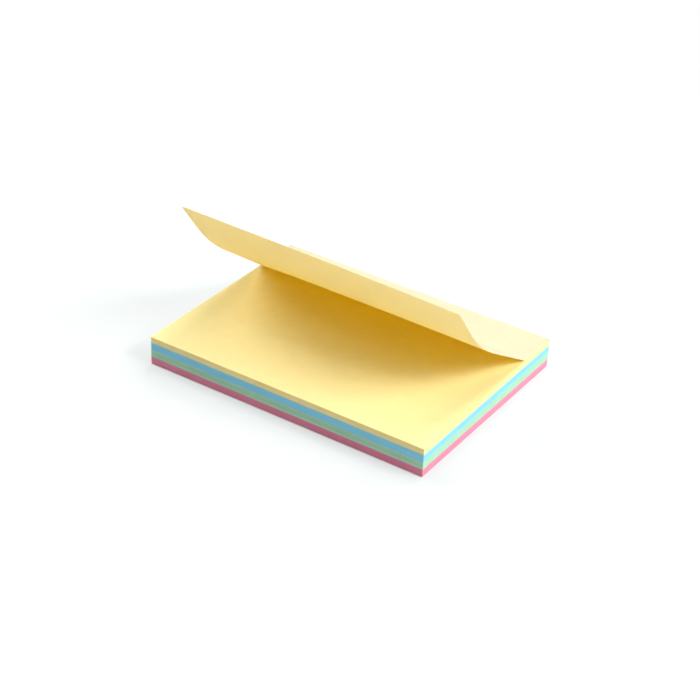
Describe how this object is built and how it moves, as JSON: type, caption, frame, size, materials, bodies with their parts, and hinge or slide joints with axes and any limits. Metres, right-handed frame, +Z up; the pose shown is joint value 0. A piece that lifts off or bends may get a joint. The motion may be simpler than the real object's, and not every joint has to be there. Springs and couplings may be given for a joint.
{
  "type": "sticky note pad",
  "caption": "Pad of coloured notes in stacked blocks, bound by adhesive along one long edge, with the top note lifted and curling.",
  "frame": {"origin": "middle of the backing sheet's underside, the face that the pad rests on", "axes": "+X along the long edge of the sheets, +Y towards the bound edge, +Z up through the stack"},
  "size_m": [0.102, 0.076, 0.0498],
  "materials": {
    "lifted_paper": "matt uncoated note paper, pastel yellow, lets some light through",
    "yellow_paper": "matt uncoated note paper, pastel yellow",
    "blue_paper": "matt uncoated note paper, pastel blue",
    "green_paper": "matt uncoated note paper, pastel green",
    "pink_paper": "matt uncoated note paper, pastel pink",
    "backing_paper": "off-white release paper with a light sheen",
    "adhesive": "clear dried low-tack adhesive with a faint gloss"
  },
  "bodies": {
    "root": {"top_sheet": "lifted_paper", "yellow_sheets": "yellow_paper", "blue_sheets": "blue_paper", "green_sheets": "green_paper", "pink_sheets": "pink_paper", "backing_sheet": "backing_paper", "adhesive_under_top_sheet": "adhesive", "adhesive_under_yellow": "adhesive", "adhesive_under_blue": "adhesive", "adhesive_under_green": "adhesive", "adhesive_under_pink": "adhesive"}
  },
  "joints": []
}
